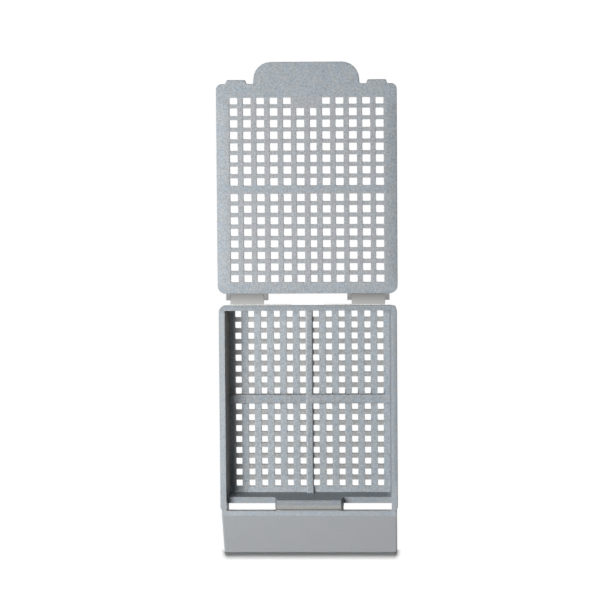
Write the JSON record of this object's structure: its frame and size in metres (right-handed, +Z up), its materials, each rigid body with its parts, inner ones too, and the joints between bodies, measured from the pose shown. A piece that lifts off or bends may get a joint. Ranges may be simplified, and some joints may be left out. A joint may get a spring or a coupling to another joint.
{
  "type": "tissue cassette",
  "caption": "Shallow perforated plastic tray with a sloped writing panel and a hinged perforated lid, opened out flat, for holding tissue samples during processing.",
  "frame": {"origin": "underside of the tray, on the table, under the crossing of the two ribs that part its floor", "axes": "+Z up, +Y from the writing panel towards the hinge and the opened lid, +X across the cassette"},
  "size_m": [0.0286, 0.079, 0.006],
  "materials": {
    "moulded_plastic": "pale blue-grey, fine satin grain, slightly translucent",
    "hinge_film": "same plastic, thin and smooth at the film hinges"
  },
  "bodies": {
    "tray_body": {"tray": "moulded_plastic", "hinge_strap_left": "hinge_film", "hinge_strap_right": "hinge_film"},
    "lid_body": {"lid": "moulded_plastic"}
  },
  "joints": [
    {"name": "lid_hinge", "type": "hinge", "parent": "tray_body", "child": "lid_body", "pos_m": [0, 0.01637, 0.0061], "axis": [1, 0, 0], "range_deg": [0, 180], "deforming": ["hinge_strap_left", "hinge_strap_right"]}
  ]
}
